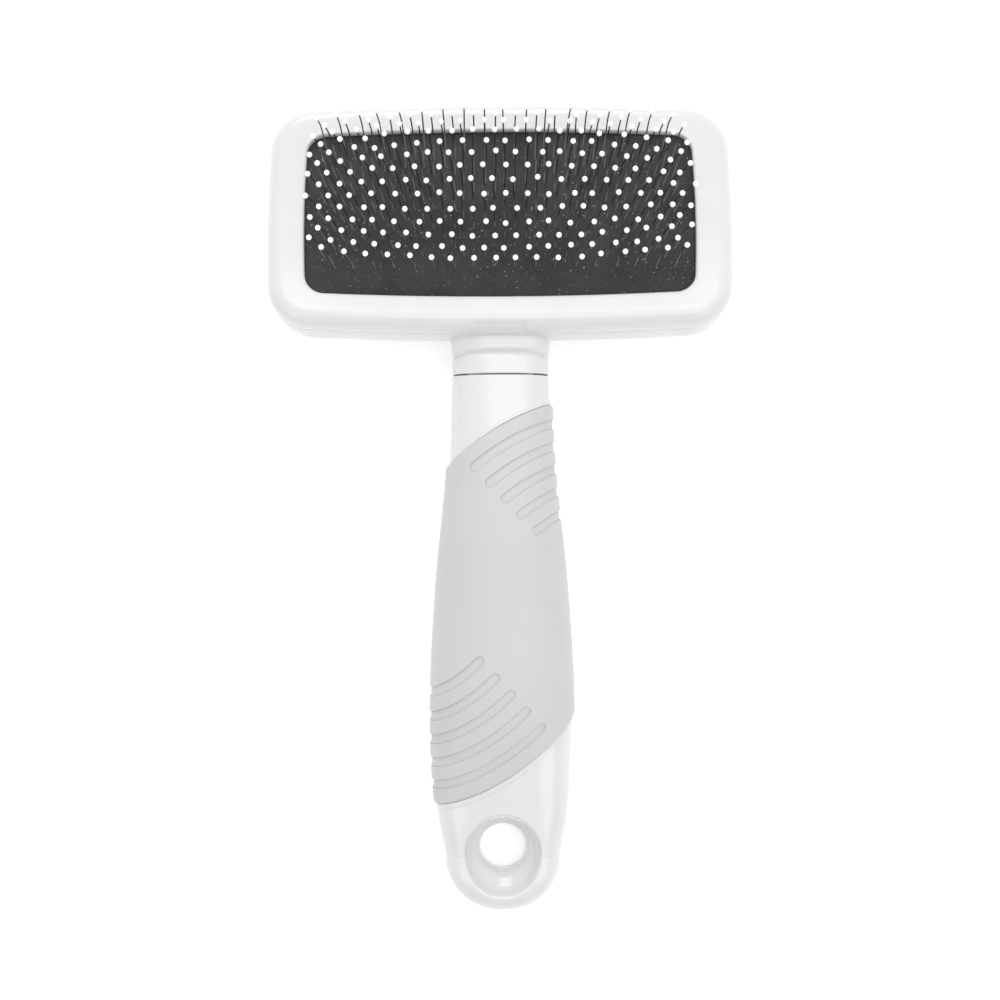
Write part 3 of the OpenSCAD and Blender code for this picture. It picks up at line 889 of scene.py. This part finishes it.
def grip_sleeve(mat, groove_painted_light_mat):
    """Soft grip: a ring of lines between its slanted ends, with the grooves cut into it."""
    around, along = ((224, 150))
    ends = [0, 0.03, 0.08, 0.16, 0.28, 0.45, 0.7, 1.1, 1.6]
    lines = []
    for k in range(around):
        t = 2 * math.pi * k / around
        low, top = arc_at(t, TAIL_END) + GRIP_GAP, arc_at(t, HEAD_END) - GRIP_GAP
        places = [low + e * MM for e in ends]
        places += list(np.linspace(low + 1.6 * MM, top - 1.6 * MM, along)[1:-1])
        places += [top - e * MM for e in reversed(ends)]
        line = [handle_point(y, t, grip_lift(min(top - y, y - low))) for y in places]
        line += [handle_point(y, t, -GRIP_SUNK) for y in np.linspace(top, low, 40)]
        lines.append(np.array(line))
    rings = [np.array([line[n] for line in lines]) for n in range(len(lines[0]))]
    piece = loft("grip_sleeve_soft", rings, ROOT, mat, closed=True, angle=70)
    verts, faces = [], []
    for end in (HEAD_END, TAIL_END):
        for i in range(GROOVES):
            cut = groove_cutter(end, i)
            base = len(verts)
            verts.extend(p for ring in cut for p in ring)
            faces.extend(tuple(base + n for n in f) for f in loft_faces(len(cut), len(cut[0]), True, True))
    # The cutter carries the lighter copy of the grip material: painted light on the groove faces.
    cutter = new_object("groove_part", verts, faces, ROOT, groove_painted_light_mat)
    join_solids(piece, cutter, "DIFFERENCE")
    tidy_mesh(piece, 32)
    return finish_piece(piece, "soft_grip", "grip_sleeve")


def bead_rows(width, height):
    """Distance from the grip's edge and lift, across the thin raised lip of the core beside it."""
    return [(0.0, height * 0.5), (0.05, height * 0.85), (0.13, height), (width - 0.22, height),
            (width - 0.12, height * 0.95), (width - 0.05, height * 0.75), (width + 0.01, height * 0.25),
            (width + 0.05, 0.02), (width + 0.12, 0.0)]


def core_line(t, quick):
    """One line of the core from the neck to the tail, sunk where the grip lies."""
    top, low = arc_at(t, HEAD_END), arc_at(t, TAIL_END)
    x = handle_point(top, t, 0)[0]
    grown = float(smooth_step(x, -12 * MM, -2 * MM))
    line = [(NECK_Y - 0.8 * MM, -0.9 * MM), (NECK_Y - 0.02 * MM, -0.15 * MM),
            (NECK_Y - 0.05 * MM, -0.05 * MM), (NECK_Y - 0.2 * MM, 0.0)]
    steps = 24 if quick else 40
    for y in np.linspace(NECK_Y - 0.2 * MM, top + 1.6 * MM, steps)[1:]:
        line.append((y, 0.0))
    head_rows = bead_rows(0.5 + 0.3 * grown, BEAD_H / MM * (0.15 + 0.85 * grown))
    line += [(top + d * MM, lift * MM) for d, lift in reversed(head_rows)]
    line.append((top, -GRIP_SUNK))
    for y in np.linspace(top, low, 30)[1:]:
        line.append((y, -GRIP_SUNK))
    line += [(low - d * MM, lift * MM) for d, lift in bead_rows(1.35, BEAD_H / MM)]
    start = low - 1.7 * MM
    for s in np.linspace(0, 1, 90 if not quick else 50):
        line.append((start + (TAIL_START - start) * s, 0.0))
    for s in np.linspace(0, 1, 40 if not quick else 24)[1:]:
        angle = s * math.radians(86)
        line.append((TAIL_START + (TAIL_Y - TAIL_START) * math.sin(angle), 0.0))
    return [handle_point(y, t, lift) for y, lift in line]


def handle_core(mat):
    """Hard core: neck end, raised lips beside the grip, tail with a dished hang hole."""
    around = 176
    lines = [core_line(2 * math.pi * k / around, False) for k in range(around)]
    rings = [np.array([line[n] for line in lines]) for n in range(len(lines[0]))]
    piece = loft("handle_hard_core", rings, ROOT, mat, True, True)
    join_solids(piece, tenon_box("socket_part", SOCKET_Y, TENON_FIT, mat), "DIFFERENCE")
    join_solids(piece, hole_cutter(mat), "DIFFERENCE")
    tidy_mesh(piece, 38)
    return finish_piece(piece, "white_plastic", "handle_core")


def front_height(x, y):
    """Height of the handle's front surface over a place in plan."""
    a, mid, half = handle_size(y)
    ratio = min(abs(x) / max(a, 1e-6), 1.0)
    return mid + half * (1 - ratio ** SECTION_POWER) ** (1 / SECTION_POWER)


def soft_min(a, b, blend):
    """The lower of two heights, with the corner between them rounded over."""
    return min(a, b) - blend * math.log(1 + math.exp(-min(abs(a - b) / blend, 60.0)))


def dish_line(a):
    """One radial line of the hang hole's cutter: countersink, throat, then a dish out to the front."""
    stretch = 0.11 * max(0.0, -math.sin(a)) ** 2
    blend = (0.10 + 0.75 * float(smooth_step(-math.sin(a), -0.8, 0.3))) * MM
    radii, heights = np.array(DISH).T * MM
    line = [(r * MM, z * MM) for r, z in COUNTERSINK]
    for r in np.concatenate([radii[:2], np.linspace(radii[2], radii[-1], 58)]):
        wide = r * (1 + stretch * float(smooth_step(r, 7 * MM, 9 * MM)))
        front = front_height(wide * math.cos(a), HOLE_Y + wide * math.sin(a)) + 0.06 * MM
        line.append((wide, soft_min(float(np.interp(r, radii, heights)), front, blend)))
    line.append((line[-1][0], 24 * MM))
    return [(r * math.cos(a), HOLE_Y + r * math.sin(a), z) for r, z in line]


def hole_cutter(mat):
    lines = [dish_line(2 * math.pi * k / 144) for k in range(144)]
    rings = [np.array([line[n] for line in lines]) for n in range(len(lines[0]))]
    return loft("hole_part", rings, ROOT, mat, True, True)


# ---------- stage ----------

LIGHTS = [  # name, place, target, width, depth, power; the key stands beyond the head
    ("key", (-0.1, 1.0, 0.58), (0, 0, 0), 0.55, 0.55, 3.2),
    ("fill", (0.2, 0.0, 1.15), (0, 0, 0), 0.9, 0.9, 4.5),
    ("head_strip", (0, 0.40, 0.86), (0, 0.06, 0), 0.6, 0.2, 1.1),
    ("side_left", (-0.6, -0.5, 0.5), (0, 0.05, 0), 0.3, 0.3, 0.5),
    ("side_right", (0.6, -0.5, 0.5), (0, 0.05, 0), 0.3, 0.3, 0.5)]
FLOOR_HALF, FLOOR_GAP, FLOOR_GLOW = 3.0, 0.0002, 0.27
WORLD_GLOW = 0.54
CAMERA_PLACE, CAMERA_TURN = (-0.0003, 0.0023, 0.311), math.radians(-0.28)
SENSOR, LENS = 36, 43.497


def stage():
    """White table lit from all round, with the camera looking straight down."""
    scene = bpy.context.scene
    floor = floor_sheet()
    floor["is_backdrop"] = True
    world = bpy.data.worlds.new("studio")
    scene.world = world
    world.use_nodes = True
    world.node_tree.nodes["Background"].inputs["Color"].default_value = (1, 1, 1, 1)
    world.node_tree.nodes["Background"].inputs["Strength"].default_value = WORLD_GLOW
    for light in LIGHTS:
        area_light(*light)
    camera_data = bpy.data.cameras.new("camera")
    camera = bpy.data.objects.new("camera", camera_data)
    scene.collection.objects.link(camera)
    camera.location = CAMERA_PLACE
    camera.rotation_euler = (0, 0, CAMERA_TURN)
    camera_data.sensor_width = SENSOR
    camera_data.lens = LENS
    camera_data.clip_start = 0.01
    scene.camera = camera
    scene.view_settings.view_transform = "Standard"


def floor_sheet():
    """Faintly glowing white paper just below the brush, so that it shows pure white."""
    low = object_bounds()[0]
    mesh = bpy.data.meshes.new("floor")
    corners = [(-1, -1), (1, -1), (1, 1), (-1, 1)]
    mesh.from_pydata([(x * FLOOR_HALF, y * FLOOR_HALF, 0) for x, y in corners], [], [(0, 1, 2, 3)])
    floor = bpy.data.objects.new("floor", mesh)
    bpy.context.scene.collection.objects.link(floor)
    floor.location.z = low.z - FLOOR_GAP
    mat, nodes, links, bsdf = material("floor_paper")
    cloud = noise(nodes, links, 3, 2)
    tint = ramp(nodes, links, cloud.outputs["Fac"], [(0.3, grey(0.94)), (0.7, grey(0.96))])
    links.new(tint.outputs["Color"], bsdf.inputs["Base Color"])
    bsdf.inputs["Roughness"].default_value = 0.9
    bsdf.inputs["Emission Color"].default_value = (1, 1, 1, 1)
    bsdf.inputs["Emission Strength"].default_value = FLOOR_GLOW
    mesh.materials.append(mat)
    return floor


def area_light(name, place, target, width, depth, power):
    """Soft rectangular light that faces its target."""
    data = bpy.data.lights.new(name, "AREA")
    data.shape = "RECTANGLE"
    data.size = width
    data.size_y = depth
    data.energy = power
    light = bpy.data.objects.new(name, data)
    bpy.context.scene.collection.objects.link(light)
    light.location = place
    light.rotation_mode = "QUATERNION"
    light.rotation_quaternion = (Vector(target) - Vector(place)).to_track_quat("-Z", "Y")


# ---------- build ----------

def build():
    white = white_plastic()
    front_frame(white)
    head_back(white)
    handle_core(white)
    # The groove copy of the grip material is painted lighter (0.69 against 0.62), painted light standing in
    # for the light on the groove floors.
    grip_sleeve(soft_grip("soft_grip_rubber", 0.62), soft_grip("soft_grip_groove_painted_lighter", 0.69))
    cushion_sheet(pad_cloth())
    foam_block(foam_rubber())
    plate = frame["nodes"]["backing_plate"]
    plate.data.materials.clear()
    plate.data.materials.append(carrier_plastic())
    wire, ball = wire_steel(), ball_plastic()
    rng = random.Random(14)
    for i in range(1, ROWS + 1):
        pin_row(i, wire, ball, rng)


build()
stage()
